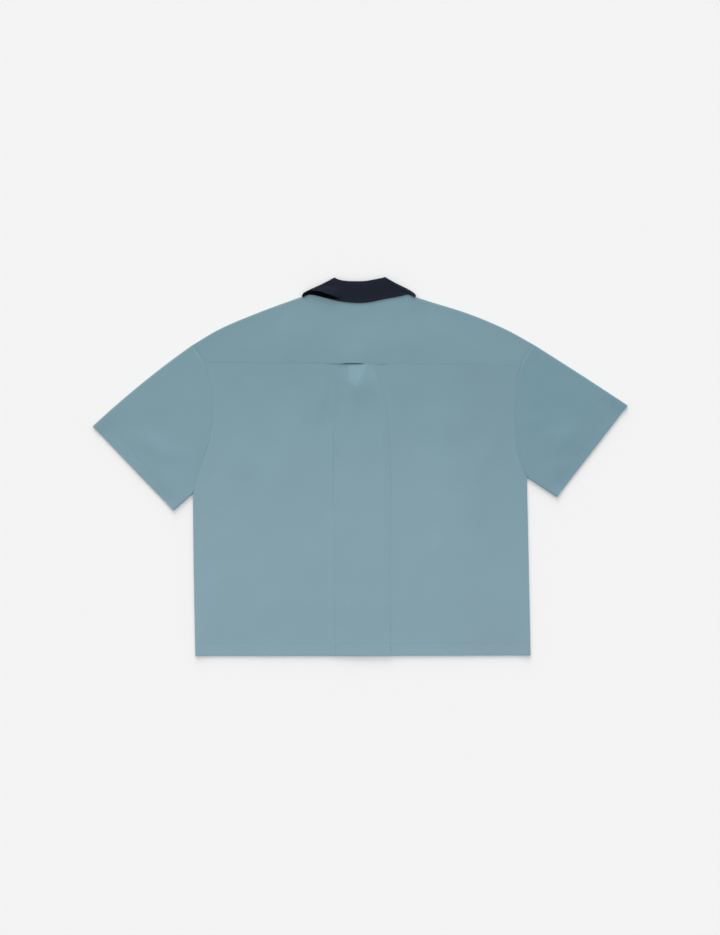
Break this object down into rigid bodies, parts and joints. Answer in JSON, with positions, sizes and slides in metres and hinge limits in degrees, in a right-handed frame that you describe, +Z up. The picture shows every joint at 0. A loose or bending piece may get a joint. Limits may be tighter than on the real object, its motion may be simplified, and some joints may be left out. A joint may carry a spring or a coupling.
{
  "type": "short-sleeved bowling shirt",
  "caption": "Wide short-sleeved button shirt with a contrast camp collar, a back yoke and a centre box pleat, laid flat with its back up.",
  "frame": {"origin": "on the surface that the shirt lies on, under the middle of its outline", "axes": "+X from the wearer's left sleeve to the right one, +Y from the hem to the collar, +Z up out of the shirt's back"},
  "size_m": [0.9912, 0.7009, 0.0102],
  "materials": {
    "shirt_cloth": "smooth, matt, fine plain weave in a dusty grey blue",
    "collar_cloth": "matt, fine plain weave in dark navy",
    "button_plastic": "satin dark navy, four holes"
  },
  "bodies": {
    "root": {"back_panel": "shirt_cloth", "back_yoke": "shirt_cloth", "front_left": "shirt_cloth", "front_right": "shirt_cloth", "sleeve_left": "shirt_cloth", "sleeve_right": "shirt_cloth", "collar": "collar_cloth", "button_1": "button_plastic", "button_2": "button_plastic", "button_3": "button_plastic", "button_4": "button_plastic", "button_5": "button_plastic", "button_6": "button_plastic"}
  },
  "joints": []
}
